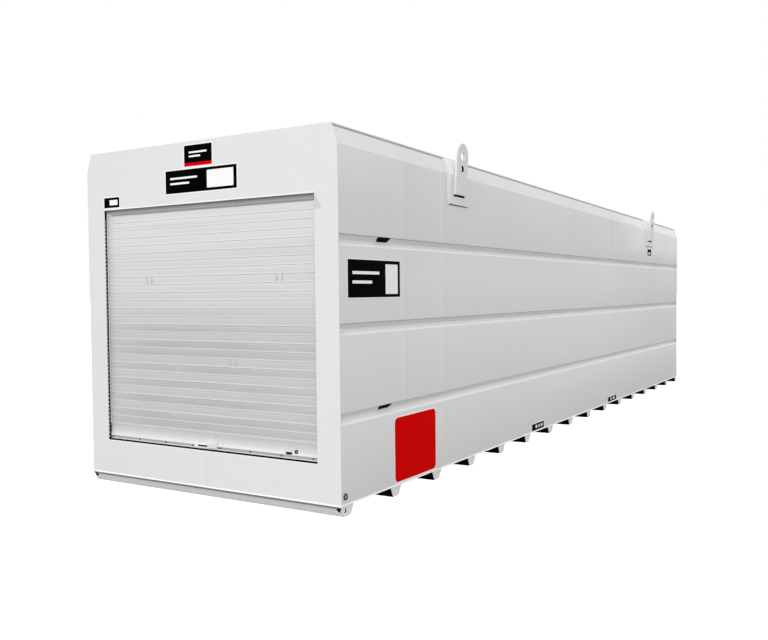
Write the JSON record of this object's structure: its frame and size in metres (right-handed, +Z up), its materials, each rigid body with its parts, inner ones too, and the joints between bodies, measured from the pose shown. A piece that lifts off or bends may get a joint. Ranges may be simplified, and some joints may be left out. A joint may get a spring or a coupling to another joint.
{
  "type": "horizontal bunded storage tank",
  "caption": "Long steel box-shaped storage tank with a double skin, grooved walls, a shuttered cabinet end, lifting lugs and cross bearers.",
  "frame": {"origin": "bottom centre of the tank, on the surface that its bearers stand on", "axes": "+Z up; +Y along the tank from its shuttered end to its plain end; +X to the right when facing the shutter from outside"},
  "size_m": [3.1842, 12.19, 3.4067],
  "materials": {
    "white_paint": "satin white paint",
    "shutter_metal": "mill finish with a thin light coat",
    "dark_fitting": "dull black",
    "sign_black": "printed film",
    "sign_white": "printed film",
    "sign_red": "printed film"
  },
  "bodies": {
    "root": {"bearer_01": "white_paint", "bearer_02": "white_paint", "bearer_03": "white_paint", "bearer_04": "white_paint", "bearer_05": "white_paint", "bearer_06": "white_paint", "bearer_07": "white_paint", "bearer_08": "white_paint", "bearer_09": "white_paint", "bearer_10": "white_paint", "bearer_11": "white_paint", "bearer_12": "white_paint", "bearer_13": "white_paint", "bearer_14": "white_paint", "bearer_15": "white_paint", "bearer_16": "white_paint", "drain_plug_left": "dark_fitting", "drain_plug_right": "dark_fitting", "floor_plate": "white_paint", "front_header": "white_paint", "front_jamb_left": "white_paint", "front_jamb_right": "white_paint", "front_sill": "white_paint", "lifting_lug_front_left": "white_paint", "lifting_lug_front_right": "white_paint", "lifting_lug_rear_left": "white_paint", "lifting_lug_rear_right": "white_paint", "lug_pad_front_left": "white_paint", "lug_pad_front_right": "white_paint", "lug_pad_rear_left": "white_paint", "lug_pad_rear_right": "white_paint", "rear_corner_left": "white_paint", "rear_corner_right": "white_paint", "rear_panel": "white_paint", "roof_panel": "white_paint", "shutter_bottom_bar": "shutter_metal", "shutter_curtain": "shutter_metal", "shutter_guide_left": "shutter_metal", "shutter_guide_right": "shutter_metal", "shutter_head_seal": "dark_fitting", "shutter_latch": "shutter_metal", "shutter_lock": "dark_fitting", "side_wall_left": "white_paint", "side_wall_right": "white_paint"}
  },
  "joints": []
}
